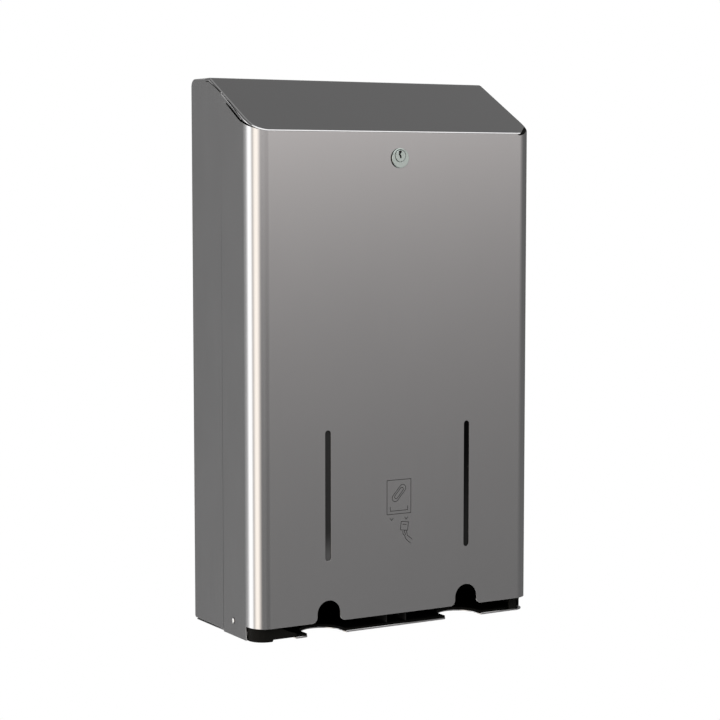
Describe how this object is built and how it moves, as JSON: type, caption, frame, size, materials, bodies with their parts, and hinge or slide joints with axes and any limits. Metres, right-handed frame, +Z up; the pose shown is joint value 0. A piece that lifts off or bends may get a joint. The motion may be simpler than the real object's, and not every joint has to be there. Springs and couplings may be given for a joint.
{
  "type": "sanitary pad dispenser",
  "caption": "Wall-mounted stainless steel dispenser for stacks of wrapped pads, with a locked door that tilts forward, level slots and finger notches.",
  "frame": {"origin": "middle of the flat back face that lies on the wall", "axes": "+Z up along the height, +Y out of the back face into the wall, +X across the width to the right seen from the front, so the front faces -Y"},
  "size_m": [0.3026, 0.1329, 0.51],
  "materials": {
    "stainless": "satin stainless sheet",
    "black_steel": "matte black powder coat",
    "black_plastic": "matte",
    "nickel": "satin nickel plate",
    "zinc": "zinc plated steel"
  },
  "bodies": {
    "casing": {"rear_casing": "stainless", "floor_plate": "stainless", "tray_liner": "black_plastic", "left_magazine": "black_steel", "right_magazine": "black_steel", "lower_rail": "zinc", "upper_rail": "zinc", "centre_post": "black_steel", "lock_keeper": "zinc", "hinge_pin_left": "zinc", "hinge_pin_right": "zinc", "hinge_clip_left": "zinc", "hinge_clip_right": "zinc", "floor_screw_1": "zinc", "floor_screw_2": "zinc", "floor_screw_3": "zinc", "floor_screw_4": "zinc", "rail_rivet_1": "zinc", "rail_rivet_2": "zinc", "rail_rivet_3": "zinc", "rail_rivet_4": "zinc", "magazine_screw_1": "zinc", "magazine_screw_2": "zinc", "magazine_screw_3": "zinc", "magazine_screw_4": "zinc", "post_screw_1": "zinc", "post_screw_2": "zinc", "keeper_screw_1": "zinc", "keeper_screw_2": "zinc"},
    "door": {"front_cover": "stainless", "lock_housing": "nickel", "lock_washer": "zinc", "lock_nut": "zinc", "stop_stud_left": "zinc", "stop_stud_right": "zinc"},
    "plug": {"lock_plug": "nickel", "lock_cam": "zinc", "cam_screw": "zinc"}
  },
  "joints": [
    {"name": "door_tilt", "type": "hinge", "parent": "casing", "child": "door", "pos_m": [0, -0.084, -0.241], "axis": [1, 0, 0], "range_deg": [0, 90]},
    {"name": "lock_turn", "type": "hinge", "parent": "door", "child": "plug", "pos_m": [0, -0.13, 0.1838], "axis": [0, 1, 0], "range_deg": [0, 90]}
  ]
}
